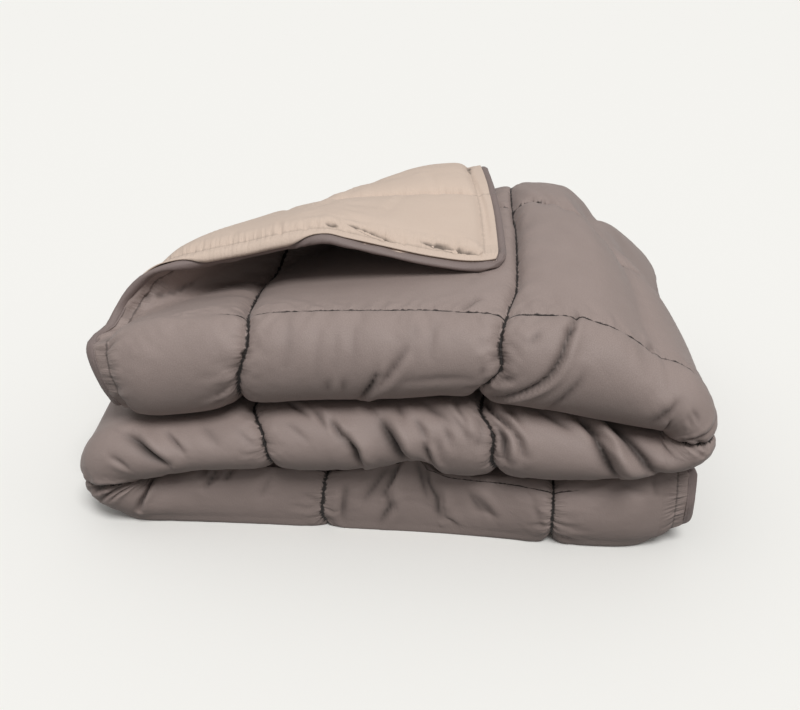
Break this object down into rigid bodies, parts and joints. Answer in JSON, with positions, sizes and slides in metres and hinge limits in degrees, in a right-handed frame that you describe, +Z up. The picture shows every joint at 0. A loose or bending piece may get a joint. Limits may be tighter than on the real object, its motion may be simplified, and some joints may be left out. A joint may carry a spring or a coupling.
{
  "type": "folded lightweight duvet",
  "caption": "Light box-quilted duvet folded into a low pile, with one corner rolled back to show the paler reverse.",
  "frame": {"origin": "middle of the pile's footprint, on the surface that it rests on", "axes": "+X along the pile, from the free end of the top section at the left to the turn at the right; +Y from the closed front fold to the back; +Z up"},
  "size_m": [0.6278, 0.5029, 0.3019],
  "materials": {
    "face_cloth": "smooth fine taupe microfibre with a soft satin sheen",
    "reverse_cloth": "smooth fine beige microfibre, matt",
    "edge_tape": "folded taupe edge tape with one row of stitching"
  },
  "bodies": {
    "root": {"duvet": "face_cloth", "reverse_panel": "reverse_cloth", "edge_binding": "edge_tape"}
  },
  "joints": []
}
